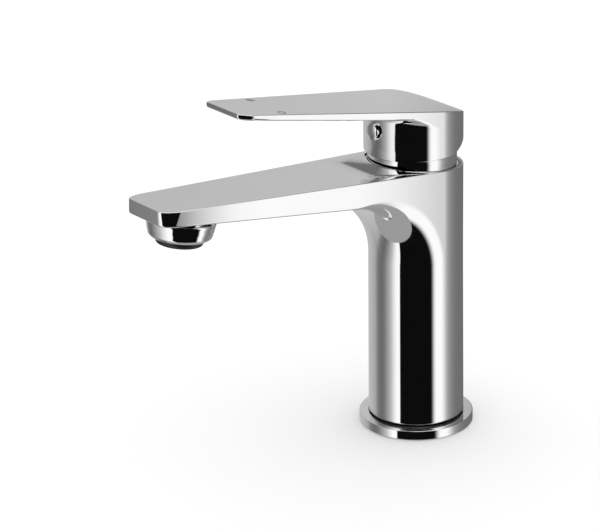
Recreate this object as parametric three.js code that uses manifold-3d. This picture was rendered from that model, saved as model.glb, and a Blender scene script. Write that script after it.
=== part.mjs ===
// Single-lever basin mixer: a cast column with a flat rising spout, a lever with a round hub,
// a 35 mm ceramic disc cartridge, an aerator and a round base flange.
// Millimetres, +Z up. The origin is on the column's axis, at the deck. The spout points to -Y.
import * as THREE from "three";
import { mergeVertices } from "three/addons/utils/BufferGeometryUtils.js";
import Module from "manifold-3d";

const wasm = await Module();
wasm.setup();

// ---------------------------------------------------------------- driving dimensions
const GAP = 0.3;                    // clearance between pieces that rest on each other

const COLUMN_RADIUS_TOP = 22.1;
const COLUMN_RADIUS_FOOT = 22.5;
const COLUMN_TAPER_END = 115;       // height where the slight taper of the casting ends
const FLANGE_RADIUS = 26.9;
const FLANGE_TOP = 4.8;
const GASKET_THICKNESS = 1.6;
const FOOT_CHAMFER = 0.7;

const SPOUT_LENGTH = 152.5;         // from the column's axis to the end face
const SPOUT_TIP_HALF_WIDTH = 14.7;
const SPOUT_TOP_AT_AXIS = 130.3;
const SPOUT_TOP_RISE = 0.091;       // mm up for each mm away from the axis
const SPOUT_UNDERSIDE_AT_AXIS = 114.5;
const SPOUT_UNDERSIDE_RISE = 0.146;
const SPOUT_CORNER = 6.5;
const THROAT_RADIUS = 38;           // concave sweep from the column up into the underside

const LEVER_LENGTH = 109.5;
const LEVER_TIP_HALF_WIDTH = 13.6;
const LEVER_TOP_AT_AXIS = 158.8;
const LEVER_TOP_RISE = 0.183;
const LEVER_UNDERSIDE_AT_AXIS = 154.25;
const LEVER_UNDERSIDE_RISE = 0.2005;
const LEVER_CORNER = 7;
const LEVER_BACK_DROP = 3.6;        // how far the top bends below its straight line at the back
const HUB_BOTTOM = 136.7;
const HUB_FORWARD = 2.6;            // the hub's nose is this far in front of its back circle
const RELIEF_START = 5;             // the hub's lower edge climbs behind this, so that it can lift
const RELIEF_RISE = 0.38;

const CARTRIDGE_Y = -1.9;           // the cartridge sits a little in front of the column's axis
const SEAT_TOP = 97.7;              // the inlet manifold's upper face
const PIVOT_Z = 126;                // the stem's pivot pin
const STEM_ARM = 10;                // from the pivot down to the stem's ball end
const RING_RADIUS = 20.6;
const RING_TOP = 136.4;
const PORTS = { hot: [-7, -4], cold: [7, -4], outlet: [0, 7.5] };   // from the cartridge's axis
const STUD_POSITION = [0, 12];
const SCREW_Z = 149.3;

const AERATOR_Y = -132.7;           // where the aerator's axis meets the underside
const COLLAR_RADIUS = 15.6;

// ---------------------------------------------------------------- finishes
const finishes = {
  chrome: { color: 0xd4d6d8, roughness: 0.06, metalness: 1 },
  brass: { color: 0xb5984f, roughness: 0.35, metalness: 1 },
  steel: { color: 0xa9adb0, roughness: 0.3, metalness: 1 },
  blackPlastic: { color: 0x101112, roughness: 0.45, metalness: 0 },
  greyPlastic: { color: 0xb9bcbe, roughness: 0.5, metalness: 0 },
  darkPlastic: { color: 0x3a3d40, roughness: 0.5, metalness: 0 },
  ceramic: { color: 0xf0eee8, roughness: 0.2, metalness: 0 },
  rubber: { color: 0x1b1b1c, roughness: 0.8, metalness: 0 },
};

// ---------------------------------------------------------------- helpers
function toSolid(geometry) {
  geometry.deleteAttribute("normal");
  geometry.deleteAttribute("uv");
  const merged = mergeVertices(geometry, 1e-4);
  return new wasm.Manifold(new wasm.Mesh({
    numProp: 3,
    vertProperties: new Float32Array(merged.attributes.position.array),
    triVerts: new Uint32Array(merged.index.array),
  }));
}

function toGeometry(solid) {
  const mesh = solid.getMesh();
  const geometry = new THREE.BufferGeometry();
  geometry.setAttribute("position", new THREE.BufferAttribute(mesh.vertProperties, 3));
  geometry.setIndex(new THREE.BufferAttribute(mesh.triVerts, 1));
  geometry.computeVertexNormals();
  return geometry;
}

// A solid turned about Z. The profile is a list of [radius, height] that closes on itself.
function turned(profile, segments = 36) {
  const points = profile.map(([radius, height]) => new THREE.Vector2(radius, height));
  if (THREE.ShapeUtils.area(points) < 0) points.reverse();
  points.push(points[0].clone());
  const geometry = new THREE.LatheGeometry(points, segments);
  geometry.rotateX(Math.PI / 2);
  return toSolid(geometry);
}

function tube(inner, outer, bottom, top, segments = 32) {
  return turned([[inner, bottom], [outer, bottom], [outer, top], [inner, top]], segments);
}

function rod(radius, bottom, top, segments = 24) {
  const geometry = new THREE.CylinderGeometry(radius, radius, top - bottom, segments);
  geometry.rotateX(Math.PI / 2);
  geometry.translate(0, 0, (bottom + top) / 2);
  return toSolid(geometry);
}

function box(x0, x1, y0, y1, z0, z1) {
  const geometry = new THREE.BoxGeometry(x1 - x0, y1 - y0, z1 - z0);
  geometry.translate((x0 + x1) / 2, (y0 + y1) / 2, (z0 + z1) / 2);
  return toSolid(geometry);
}

// A rod whose axis runs along X or Y instead of Z.
function rodAlongX(radius, from, to, segments = 16) {
  return rod(radius, from, to, segments).rotate([0, 90, 0]);
}

function rodAlongY(radius, from, to, segments = 24) {
  return rod(radius, from, to, segments).rotate([-90, 0, 0]);
}

// A plan outline raised from z0 to z1.
function prism(shape, z0, z1, curveSegments = 16) {
  const geometry = new THREE.ExtrudeGeometry(shape, { depth: z1 - z0, bevelEnabled: false, curveSegments });
  geometry.translate(0, 0, z0);
  return toSolid(geometry);
}

// A side profile of (y, z) points, extruded along X between -halfWidth and +halfWidth.
function sideProfile(points, halfWidth) {
  const shape = new THREE.Shape(points.map(([y, z]) => new THREE.Vector2(y, z)));
  const geometry = new THREE.ExtrudeGeometry(shape, { depth: 2 * halfWidth, bevelEnabled: false });
  geometry.translate(0, 0, -halfWidth);
  const axes = new THREE.Matrix4().makeBasis(
    new THREE.Vector3(0, 1, 0), new THREE.Vector3(0, 0, 1), new THREE.Vector3(1, 0, 0));
  geometry.applyMatrix4(axes);
  return toSolid(geometry);
}

// The closed skin over a stack of horizontal rings, each with the same number of points.
function loft(rings) {
  const count = rings[0].length;
  const positions = rings.flat().flatMap((point) => [point.x, point.y, point.z]);
  const faces = [];
  for (let level = 0; level + 1 < rings.length; level += 1) {
    for (let i = 0; i < count; i += 1) {
      const next = (i + 1) % count;
      const a = level * count + i;
      const b = level * count + next;
      faces.push(a, b, b + count, a, b + count, a + count);
    }
  }
  const cap = THREE.ShapeUtils.triangulateShape(rings[0].map((p) => new THREE.Vector2(p.x, p.y)), []);
  const lidStart = (rings.length - 1) * count;
  for (const [a, b, c] of cap) {
    faces.push(c, b, a);
    faces.push(lidStart + a, lidStart + b, lidStart + c);
  }
  const geometry = new THREE.BufferGeometry();
  geometry.setAttribute("position", new THREE.Float32BufferAttribute(positions, 3));
  geometry.setIndex(faces);
  return toSolid(geometry);
}

const spoutTop = (y) => SPOUT_TOP_AT_AXIS - SPOUT_TOP_RISE * y;
const spoutUnderside = (y) => SPOUT_UNDERSIDE_AT_AXIS - SPOUT_UNDERSIDE_RISE * y;
const leverUnderside = (y) => LEVER_UNDERSIDE_AT_AXIS - LEVER_UNDERSIDE_RISE * y;

function leverTop(y) {
  const bend = y > 0 ? LEVER_BACK_DROP * (y / COLUMN_RADIUS_TOP) ** 2 : 0;
  return LEVER_TOP_AT_AXIS - LEVER_TOP_RISE * y - bend;
}

// Plan of a blade: a circle about the axis, straight sides tangent to it, and a rounded tip.
function bladeOutline(radius, tipHalfWidth, length, corner) {
  const reach = Math.hypot(length, tipHalfWidth);
  const tangent = Math.atan2(-length, tipHalfWidth) + Math.acos(radius / reach);
  const shape = new THREE.Shape();
  shape.absarc(0, 0, radius, tangent, Math.PI - tangent, false);
  shape.lineTo(-tipHalfWidth, -length + corner);
  shape.quadraticCurveTo(-tipHalfWidth, -length, -tipHalfWidth + corner, -length);
  shape.lineTo(tipHalfWidth - corner, -length);
  shape.quadraticCurveTo(tipHalfWidth, -length, tipHalfWidth, -length + corner);
  return shape;
}

// Plan of the lever's hub: two circles, one behind the other, and their common tangents.
function hubOutline(inset = 0) {
  const back = COLUMN_RADIUS_TOP - inset;
  const front = back - 0.2;
  const shape = new THREE.Shape();
  shape.absarc(0, 0, back, 0, Math.PI, false);
  shape.absarc(0, -HUB_FORWARD, front, Math.PI, 2 * Math.PI, false);
  return shape;
}

const mixer = new THREE.Group();

function place(parent, name, solid, finish) {
  const mesh = new THREE.Mesh(toGeometry(solid), new THREE.MeshStandardMaterial(finishes[finish]));
  mesh.name = name;
  parent.add(mesh);
  return mesh;
}

// ---------------------------------------------------------------- base
function baseGasket() {
  let pad = rod(FLANGE_RADIUS - 2.4, 0, GASKET_THICKNESS, 48);
  for (const side of ["hot", "cold"]) {
    const [x, y] = PORTS[side];
    pad = pad.subtract(rod(5.6, -1, 3).translate([1.4 * x, y + CARTRIDGE_Y, 0]));
  }
  return pad.subtract(rod(5, -1, 3).translate([...STUD_POSITION, 0]));
}

function baseFlange() {
  const recess = FLANGE_RADIUS - 2.1;
  const recessTop = GASKET_THICKNESS + GAP;
  return turned([
    [20.9, recessTop], [recess, recessTop], [recess, GAP], [FLANGE_RADIUS - 0.3, GAP],
    [FLANGE_RADIUS, GAP + 0.3], [FLANGE_RADIUS, FLANGE_TOP - 0.4], [FLANGE_RADIUS - 0.4, FLANGE_TOP],
    [22.6, FLANGE_TOP], [22.6, 3.0], [20.9, 3.0],
  ], 48);
}

place(mixer, "base_gasket", baseGasket(), "rubber");
place(mixer, "base_flange", baseFlange(), "chrome");
place(mixer, "foot_o_ring", tube(21.2, 22.3, 3.3, FLANGE_TOP), "rubber");

// ---------------------------------------------------------------- column and spout
const FOOT_Z = FLANGE_TOP + GAP;
const BORE_RADIUS = 18;             // around the cartridge
const HOLLOW_RADIUS = 19.3;         // below the manifold, where the hoses run
const NUT_BORE_RADIUS = 20.3;
const NUT_BORE_BOTTOM = 120.6;
const RING_BORE_RADIUS = 20.95;
const RING_BORE_BOTTOM = 128;

// The throat: horizontal nose-shaped slices whose front follows a concave arc up to the underside.
function throat() {
  const startZ = 84.8;
  const levels = 9;
  const lastAngle = THREE.MathUtils.degToRad(74);
  const noseSteps = 20;
  const rings = [];
  for (let level = 0; level <= levels; level += 1) {
    const angle = lastAngle * (0.12 + 0.88 * (level / levels));
    const forward = THROAT_RADIUS * (1 - Math.cos(angle));
    const z = startZ + THROAT_RADIUS * Math.sin(angle);
    const radius = COLUMN_RADIUS_TOP - 0.05 - 0.0512 * forward;
    const ring = [];
    for (let i = 0; i <= noseSteps; i += 1) {
      const turn = Math.PI + Math.PI * (i / noseSteps);
      ring.push(new THREE.Vector3(radius * Math.cos(turn), radius * Math.sin(turn) - forward, z));
    }
    ring.push(new THREE.Vector3(21, 2, z), new THREE.Vector3(-21, 2, z));
    rings.push(ring);
  }
  return loft(rings);
}

function spoutSlab() {
  const end = -SPOUT_LENGTH - 1;
  const slab = sideProfile([
    [end, spoutUnderside(end)], [0, spoutUnderside(0)], [0, spoutTop(0)], [end, spoutTop(end)],
  ], 30);
  const outline = bladeOutline(COLUMN_RADIUS_TOP, SPOUT_TIP_HALF_WIDTH, SPOUT_LENGTH, SPOUT_CORNER);
  return slab.intersect(prism(outline, 100, 150));
}

function column() {
  const shaft = turned([
    [0, FOOT_Z], [COLUMN_RADIUS_FOOT - FOOT_CHAMFER, FOOT_Z],
    [COLUMN_RADIUS_FOOT, FOOT_Z + FOOT_CHAMFER], [COLUMN_RADIUS_TOP, COLUMN_TAPER_END],
    [COLUMN_RADIUS_TOP, 140], [0, 140],
  ], 48);
  const spigot = rod(20.6, GASKET_THICKNESS + 2 * GAP, FOOT_Z + 1, 48);
  const cut = sideProfile([[-200, spoutTop(-200)], [60, spoutTop(60)], [60, 200], [-200, 200]], 60);
  return shaft.add(spigot).subtract(cut);
}

// Water rises around the cartridge, through a passage in the throat and along the spout.
function waterway() {
  const passage = sideProfile([
    [-15, 106], [-24, 106], [-36, 117.5], [-48, 123.6], [-48, 127], [-30, 127],
    [-25.5, 118.5], [-15, 118.5],
  ], 9);
  const wall = 2.3;
  const end = -SPOUT_LENGTH + 6;
  const start = -38;
  const channel = sideProfile([
    [end, spoutUnderside(end) + wall], [start, spoutUnderside(start) + wall],
    [start, spoutTop(start) - wall], [end, spoutTop(end) - wall],
  ], 30);
  const outline = bladeOutline(COLUMN_RADIUS_TOP - 2.6, SPOUT_TIP_HALF_WIDTH - 2.6, SPOUT_LENGTH - 6, 4);
  return passage.add(channel.intersect(prism(outline, 100, 150)));
}

function columnBores() {
  const hollow = rod(HOLLOW_RADIUS, 0, SEAT_TOP + GAP, 36);
  const bores = [
    rod(BORE_RADIUS, SEAT_TOP, NUT_BORE_BOTTOM + 1, 36),
    rod(NUT_BORE_RADIUS, NUT_BORE_BOTTOM, RING_BORE_BOTTOM + 1, 36),
    rod(RING_BORE_RADIUS, RING_BORE_BOTTOM, 140, 48),
  ];
  return bores.reduce((all, bore) => all.add(bore.translate([0, CARTRIDGE_Y, 0])), hollow);
}

// The aerator's own frame: its Z is square to the underside, its origin is on the underside.
const aerator = new THREE.Group();
aerator.position.set(0, AERATOR_Y, spoutUnderside(AERATOR_Y));
aerator.rotation.x = -Math.atan(SPOUT_UNDERSIDE_RISE);
mixer.add(aerator);

function inAeratorFrame(solid) {
  aerator.updateMatrix();
  return solid.transform(aerator.matrix.toArray());
}

function bodyAndSpout() {
  const outside = column().add(spoutSlab()).add(throat());
  const outlet = inAeratorFrame(rod(12, -3, 4.5, 32));
  return outside.subtract(columnBores()).subtract(waterway()).subtract(outlet);
}

place(mixer, "body_and_spout", bodyAndSpout(), "chrome");

// ---------------------------------------------------------------- aerator
function aeratorCollar() {
  return turned([
    [11.1, -10.9], [12.2, -10.9], [13.6, -9.9], [14.5, -8], [15.2, -4.5], [COLLAR_RADIUS, -1.2],
    [COLLAR_RADIUS - 0.3, -0.5], [11.7, -0.5], [11.7, 1.8], [10.9, 1.8], [10.9, -9.6],
  ], 44);
}

// The black insert, with a honeycomb of straight holes for the stream.
function aeratorInsert() {
  let body = turned([
    [0, -11.9], [8.9, -11.9], [9.8, -11.5], [10.3, -10.6], [10.3, -4], [0, -4],
  ], 32);
  const pitch = 3.3;
  for (let row = -2; row <= 2; row += 1) {
    const count = 5 - Math.abs(row);
    for (let i = 0; i < count; i += 1) {
      const x = (i - (count - 1) / 2) * pitch;
      const y = row * pitch * Math.sin(Math.PI / 3);
      body = body.subtract(rod(1.25, -13, -3, 6).translate([x, y, 0]));
    }
  }
  return body;
}

function aeratorScreen() {
  return turned([[0, -2.4], [6, -2.7], [10.3, -3.7], [10.3, -3.2], [6, -2.1], [0, -1.8]], 24);
}

place(aerator, "aerator_collar", aeratorCollar(), "chrome");
place(aerator, "aerator_insert", aeratorInsert(), "blackPlastic");
place(aerator, "aerator_screen", aeratorScreen(), "steel");
place(aerator, "aerator_washer", tube(8.2, 10.6, -1.4, 1.2), "rubber");

// ---------------------------------------------------------------- inlet manifold
const cartridge = new THREE.Group();
cartridge.position.set(0, CARTRIDGE_Y, 0);
mixer.add(cartridge);

const MANIFOLD_BOTTOM = 84;

function inletManifold() {
  let block = rod(HOLLOW_RADIUS - GAP, MANIFOLD_BOTTOM, SEAT_TOP, 36);
  for (const side of ["hot", "cold"]) {
    const [x, y] = PORTS[side];
    const socket = rod(4.6, MANIFOLD_BOTTOM - 1, 93).translate([1.4 * x, y + CARTRIDGE_Y, 0]);
    const port = rod(2.8, 90, SEAT_TOP + 1, 16).translate([x, y + CARTRIDGE_Y, 0]);
    block = block.subtract(socket).subtract(port);
  }
  const [outletX, outletY] = PORTS.outlet;
  const outlet = rod(3, 93, SEAT_TOP + 1, 16).translate([outletX, outletY + CARTRIDGE_Y, 0]);
  const stud = rod(3.4, MANIFOLD_BOTTOM - 1, 91, 16).translate([...STUD_POSITION, 0]);
  return block.subtract(outlet).subtract(stud);
}

place(mixer, "inlet_manifold", inletManifold(), "brass");

// ---------------------------------------------------------------- cartridge, fixed pieces
const BASE_BOTTOM = SEAT_TOP + GAP;
const BASE_TOP = BASE_BOTTOM + 5.7;
const DISC_TOP = BASE_TOP + GAP + 3.7;
const HOUSING_BOTTOM = BASE_TOP + GAP;
const SHOULDER_Z = 120.7;
const NECK_TOP = 130.5;

function withPorts(solid, radius, z0, z1) {
  return Object.values(PORTS).reduce(
    (rest, [x, y]) => rest.subtract(rod(radius, z0, z1, 16).translate([x, y, 0])), solid);
}

function cartridgeBase() {
  const disc = rod(17.2, BASE_BOTTOM, BASE_TOP, 36);
  const drilled = withPorts(disc, 2.6, BASE_BOTTOM - 1, BASE_TOP + 1);
  return withPorts(drilled, 3.7, BASE_BOTTOM - 1, BASE_BOTTOM + 1.8);
}

function cartridgeHousing() {
  return turned([
    [14.3, HOUSING_BOTTOM], [17.5, HOUSING_BOTTOM], [17.5, SHOULDER_Z], [13, SHOULDER_Z],
    [13, NECK_TOP], [11.4, NECK_TOP], [11.4, 117.7], [14.3, 117.7],
  ]);
}

place(cartridge, "cartridge_base", cartridgeBase(), "greyPlastic");
for (const [name, [x, y]] of Object.entries(PORTS)) {
  const seal = tube(2.3, 3.4, BASE_BOTTOM, BASE_BOTTOM + 1.5, 16).translate([x, y, 0]);
  place(cartridge, `${name}_port_seal`, seal, "rubber");
}
const fixedDisc = withPorts(rod(14, BASE_TOP + GAP, DISC_TOP, 32), 2.6, BASE_TOP, DISC_TOP + 1);
place(cartridge, "fixed_ceramic_disc", fixedDisc, "ceramic");
place(cartridge, "cartridge_housing", cartridgeHousing(), "greyPlastic");
place(cartridge, "temperature_limit_ring", tube(8.6, 12.6, NECK_TOP + GAP, NECK_TOP + 2), "darkPlastic");

// The threaded nut that clamps the cartridge, with six spanner notches in its top.
function cartridgeNut() {
  let nut = tube(13.4, 20, SHOULDER_Z + GAP, 127.6, 36);
  for (let i = 0; i < 6; i += 1) {
    const notch = box(12, 16, -2, 2, 125, 129).rotate([0, 0, 60 * i]);
    nut = nut.subtract(notch);
  }
  return nut;
}

// The bright cover ring: an upright band that flares a little towards its lower edge, closed above
// by a dome about the lever's pivot, so that the dome stays covered when the lever lifts.
function bonnetRing() {
  const bore = 16.4;
  const domeRadius = 19.5;
  const domeWall = 1.5;
  const mouth = 12.6;
  const sphere = (radius, from, to) => [0, 1, 2, 3].map((step) => {
    const r = from + (to - from) * (step / 3);
    return [r, PIVOT_Z + Math.sqrt(radius ** 2 - r ** 2)];
  });
  return turned([
    [bore, 128.2], [RING_RADIUS, 128.2], [RING_RADIUS, 131.4], [RING_RADIUS - 0.5, 133.3],
    [RING_RADIUS - 0.5, RING_TOP - 0.3], [RING_RADIUS - 0.8, RING_TOP], [16.8, RING_TOP],
    ...sphere(domeRadius, 16, mouth), ...sphere(domeRadius - domeWall, mouth, bore),
  ], 48);
}

place(cartridge, "cartridge_nut", cartridgeNut(), "brass");
place(cartridge, "bonnet_ring", bonnetRing(), "chrome");

// ---------------------------------------------------------------- cartridge, moving pieces
const DISC_OFFSET = 2;              // at rest the moving disc sits this far behind the axis
const MOVING_TOP = DISC_TOP + GAP + 3.7;
const DRIVER_TOP = 117.3;
const BALL_Z = PIVOT_Z - STEM_ARM;
const STEM_HALF_X = 4;
const STEM_HALF_Y = 3.6;
const STEM_TOP = 152;

function movingDisc() {
  const disc = rod(11.2, DISC_TOP + GAP, MOVING_TOP, 32);
  const chamber = rod(6.5, DISC_TOP, DISC_TOP + GAP + 2);
  return disc.subtract(chamber).translate([0, DISC_OFFSET, 0]);
}

function discDriver() {
  const plate = rod(11.2, MOVING_TOP + GAP, DRIVER_TOP, 32).translate([0, DISC_OFFSET, 0]);
  return plate.subtract(box(-2.9, 2.9, -3.3, 3.3, BALL_Z - 3.1, DRIVER_TOP + 1));
}

function stemCarrier() {
  const core = rod(11.1, DRIVER_TOP + 0.5, NECK_TOP - 0.3, 32);
  const slot = box(-4.4, 4.4, -8, 8, DRIVER_TOP - 1, NECK_TOP + 1);
  return core.subtract(slot).subtract(rodAlongX(1.8, -12, 12).translate([0, 0, PIVOT_Z]));
}

function stem() {
  const bar = box(-STEM_HALF_X, STEM_HALF_X, -STEM_HALF_Y, STEM_HALF_Y, PIVOT_Z - 5.5, STEM_TOP);
  const neck = rod(2, BALL_Z, PIVOT_Z - 5, 12);
  const ball = toSolid(new THREE.SphereGeometry(2.5, 12, 8)).translate([0, 0, BALL_Z]);
  const pinHole = rodAlongX(1.8, -6, 6).translate([0, 0, PIVOT_Z]);
  return bar.add(neck).add(ball).subtract(pinHole);
}

place(cartridge, "moving_ceramic_disc", movingDisc(), "ceramic");
place(cartridge, "disc_driver", discDriver(), "darkPlastic");
place(cartridge, "stem_carrier", stemCarrier(), "darkPlastic");
place(cartridge, "pivot_pin", rodAlongX(1.5, -10, 10).translate([0, 0, PIVOT_Z]), "steel");
place(cartridge, "lever_stem", stem(), "brass");

// ---------------------------------------------------------------- lever
const SLEEVE_TOP = STEM_TOP + GAP + 1;
const SLEEVE_BOTTOM = 146.4;
const SLEEVE_HALF_X = STEM_HALF_X + 1.3;
const SLEEVE_HALF_Y = STEM_HALF_Y + 1.3;
const PLUG_RADIUS = 4.2;
const MARK_X = 11.4;
const MARK_Y = -85.5;
const HUB_FRONT_Y = -HUB_FORWARD - COLUMN_RADIUS_TOP + 0.2;

// The blade: a thin rising plate with a curved web down into the hub.
function leverBlade() {
  const end = -LEVER_LENGTH - 1;
  const profile = [[end, leverUnderside(end)], [-20, leverUnderside(-20)]];
  profile.push([-15.5, 156.2], [-11, 153.1], [-6.7, 149.5], [-5, 147.5], [24, 147.5]);
  for (let y = 24; y >= 0; y -= 4) {
    profile.push([y, leverTop(y)]);
  }
  profile.push([end, leverTop(end)]);
  const outline = bladeOutline(COLUMN_RADIUS_TOP, LEVER_TIP_HALF_WIDTH, LEVER_LENGTH, LEVER_CORNER);
  return sideProfile(profile, 30).intersect(prism(outline, 130, 190));
}

function leverHub() {
  const back = RELIEF_START + 25;
  const profile = sideProfile([
    [-30, HUB_BOTTOM], [RELIEF_START, HUB_BOTTOM], [back, HUB_BOTTOM + RELIEF_RISE * (back - RELIEF_START)],
    [back, 148.5], [0, 157], [-30, 161],
  ], 30);
  return profile.intersect(prism(hubOutline(), 130, 170));
}

// Room under the hub for the cover ring and the stem, deeper behind, where the lever tips down.
function hubCavity() {
  const low = rod(21, 130, 142, 44);
  const high = rod(21, 130, 146, 44).intersect(box(-30, 30, -7, 30, 100, 200));
  return low.add(high).translate([0, CARTRIDGE_Y, 0]);
}

function stemSocket() {
  const halfX = SLEEVE_HALF_X + GAP;
  const halfY = SLEEVE_HALF_Y + GAP;
  return box(-halfX, halfX, -halfY, halfY, 130, SLEEVE_TOP + GAP).translate([0, CARTRIDGE_Y, 0]);
}

function screwBore() {
  const bore = rodAlongY(2.8, HUB_FRONT_Y - 1, CARTRIDGE_Y);
  const pocket = rodAlongY(PLUG_RADIUS + 0.1, HUB_FRONT_Y - 1, HUB_FRONT_Y + 2.9);
  return bore.add(pocket).translate([0, 0, SCREW_Z]);
}

// A shallow round pocket square to the lever's top.
function inTopFrame(solid, x) {
  const tilt = THREE.MathUtils.radToDeg(-Math.atan(LEVER_TOP_RISE));
  return solid.rotate([tilt, 0, 0]).translate([x, MARK_Y, leverTop(MARK_Y)]);
}

function leverHandle() {
  let handle = leverBlade().add(leverHub());
  handle = handle.subtract(hubCavity()).subtract(stemSocket()).subtract(screwBore());
  for (const x of [-MARK_X, MARK_X]) {
    handle = handle.subtract(inTopFrame(rod(2.4, -0.9, 2, 20), x));
  }
  return handle;
}

function stemSleeve() {
  const outer = box(-SLEEVE_HALF_X, SLEEVE_HALF_X, -SLEEVE_HALF_Y, SLEEVE_HALF_Y, SLEEVE_BOTTOM, SLEEVE_TOP);
  const halfX = STEM_HALF_X + GAP;
  const halfY = STEM_HALF_Y + GAP;
  const inner = box(-halfX, halfX, -halfY, halfY, SLEEVE_BOTTOM - 1, STEM_TOP + GAP);
  const screwWay = rodAlongY(2.8, -12, 0).translate([0, 0, SCREW_Z]);
  return outer.subtract(inner).subtract(screwWay).translate([0, CARTRIDGE_Y, 0]);
}

// The grub screw presses on the stem and has a hexagonal socket in its outer end.
function grubScrew() {
  const start = -STEM_HALF_Y + CARTRIDGE_Y - GAP;
  const body = rodAlongY(2.5, start - 8, start, 24);
  const socket = rodAlongY(1.3, start - 9, start - 5, 6);
  return body.subtract(socket).translate([0, 0, SCREW_Z]);
}

// The button that closes the screw bore: a domed head and a short shank.
function screwPlug() {
  const faceY = HUB_FRONT_Y - 1.1;
  const head = turned([
    [0, 0], [3.2, 0.15], [PLUG_RADIUS - 0.3, 0.6], [PLUG_RADIUS - 0.2, 1.2],
    [PLUG_RADIUS - 0.2, 3.4], [2.4, 3.4], [2.4, 6], [0, 6],
  ], 24);
  return head.rotate([-90, 0, 0]).translate([0, faceY, SCREW_Z]);
}

place(mixer, "lever_handle", leverHandle(), "chrome");
place(mixer, "stem_sleeve", stemSleeve(), "greyPlastic");
place(mixer, "grub_screw", grubScrew(), "steel");
place(mixer, "screw_plug", screwPlug(), "chrome");
place(mixer, "hot_mark", inTopFrame(rod(2.1, -0.6, 0, 20), -MARK_X), "darkPlastic");
place(mixer, "cold_mark", inTopFrame(tube(1.2, 2.1, -0.6, 0, 20), MARK_X), "darkPlastic");

export default mixer;
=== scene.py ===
# The looks of a single-lever basin mixer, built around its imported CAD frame.
# Shapes are worked out in millimetres and become metres in Skin.build. +Z is up and the spout points to -Y.
import math

import bpy
from mathutils import Matrix, Vector
from mathutils.geometry import delaunay_2d_cdt


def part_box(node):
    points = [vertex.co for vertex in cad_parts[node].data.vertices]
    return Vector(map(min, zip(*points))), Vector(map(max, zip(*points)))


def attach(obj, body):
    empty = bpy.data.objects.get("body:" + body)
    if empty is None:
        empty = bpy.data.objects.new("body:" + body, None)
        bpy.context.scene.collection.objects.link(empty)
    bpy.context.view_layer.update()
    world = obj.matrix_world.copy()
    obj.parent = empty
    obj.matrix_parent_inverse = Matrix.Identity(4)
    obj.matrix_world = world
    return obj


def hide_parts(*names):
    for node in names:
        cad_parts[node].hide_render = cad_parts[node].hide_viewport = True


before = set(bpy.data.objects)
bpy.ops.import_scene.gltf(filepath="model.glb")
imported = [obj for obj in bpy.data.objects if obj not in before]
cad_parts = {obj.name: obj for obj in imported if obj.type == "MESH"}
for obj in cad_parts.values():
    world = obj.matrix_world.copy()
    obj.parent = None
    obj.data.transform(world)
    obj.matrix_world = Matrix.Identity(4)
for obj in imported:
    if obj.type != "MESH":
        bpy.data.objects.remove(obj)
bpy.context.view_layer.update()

MM = 0.001


def node_box(name):
    low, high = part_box(name)
    return low / MM, high / MM


# ---------------------------------------------------------------- driving dimensions, mm
body_low, body_high = node_box("body_and_spout")
lever_low, lever_high = node_box("lever_handle")
ring_low, ring_high = node_box("bonnet_ring")
plug_low, plug_high = node_box("screw_plug")

COLUMN_RADIUS_TOP = lever_high.y            # the lever's hub and the column share this radius
COLUMN_RADIUS_FOOT = body_high.x
COLUMN_TAPER_END = 84.8                     # the column narrows from its foot up to here
FLANGE_RADIUS = 26.9
FLANGE_TOP = 4.8
FOOT_Z = 5.8                                # the column's lower end, above a dark joint with the flange
FOOT_ROUND = 0.7
SPOUT_LENGTH = -body_low.y
SPOUT_TIP_HALF_WIDTH = 14.7
SPOUT_TOP_AT_AXIS = 130.3
SPOUT_TOP_RISE = 0.091                      # mm up for each mm forward
SPOUT_UNDERSIDE_AT_AXIS = 114.9
SPOUT_UNDERSIDE_RISE = 0.146
SPOUT_EDGE_ROUND = 0.4
THROAT_RADIUS = 38                          # of the concave sweep under the spout
THROAT_RUN_OUT = math.radians(73)           # how far up the sweep the column's round nose goes
THROAT_EDGE_DEPTH = 1.0
THROAT_EDGE_SOFTNESS = 1.2
NOSE_SHARE = 0.9513                         # of the column's radius, from its front to the seams
LEVER_LENGTH = -lever_low.y
LEVER_TIP_HALF_WIDTH = 13.6
LEVER_TOP_AT_AXIS = 158.8
LEVER_TOP_RISE = 0.183
LEVER_BACK_DROP = 3.6                       # how far the lever's top bends down at the back
LEVER_UNDERSIDE_AT_AXIS = 154.25
LEVER_UNDERSIDE_RISE = 0.2005
LEVER_EDGE_ROUND = 0.5
COVE_RADIUS = 4                             # of the concave fillet between hub and blade
HUB_BOTTOM = lever_low.z
HUB_EDGE_ROUND = 0.3
HUB_NOSE_RADIUS = 21.9
HUB_NOSE_Y = -2.6                           # the nose circle's centre
RELIEF_START = 5                            # behind this y the hub's lower edge climbs
RELIEF_RISE = 0.38
HUB_CAVITY_RADIUS = 21
HUB_CAVITY_TOP = 146.2
CARTRIDGE_Y = (ring_low.y + ring_high.y) / 2
PIVOT_Z = 126                               # the height of the lever's pin
SPIGOT_RADIUS, SPIGOT_BOTTOM = 20.6, 2.2    # the column's step into the flange
HOLLOW_RADIUS, HOLLOW_TOP = 19.3, 97.8      # the room for the hoses
CARTRIDGE_RADIUS, CARTRIDGE_SEAT = 18, 98
NUT_RADIUS, NUT_SEAT = 20.3, 120.6
RING_RADIUS, RING_TOP_RADIUS = 20.6, 19.8
RING_SEAT, RING_BAND_TOP, RING_TOP = 128.2, 133.9, 136.4
DOME_RADIUS, DOME_WALL, DOME_FILLET = 19.5, 1.5, 0.4
RING_BORE_SEAT = 128
RING_BORE_RADIUS = ring_high.x + 0.35
RING_BORE_CHAMFER = 0.25
AERATOR_Y = -132.7
AERATOR_Z = 114.5 - SPOUT_UNDERSIDE_RISE * AERATOR_Y
OUTLET_RADIUS, OUTLET_DEPTH, OUTLET_SIDES = 12, 4.5, 72
SCREW_Z = (plug_low.z + plug_high.z) / 2
PLUG_PROUD = 2.6
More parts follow.
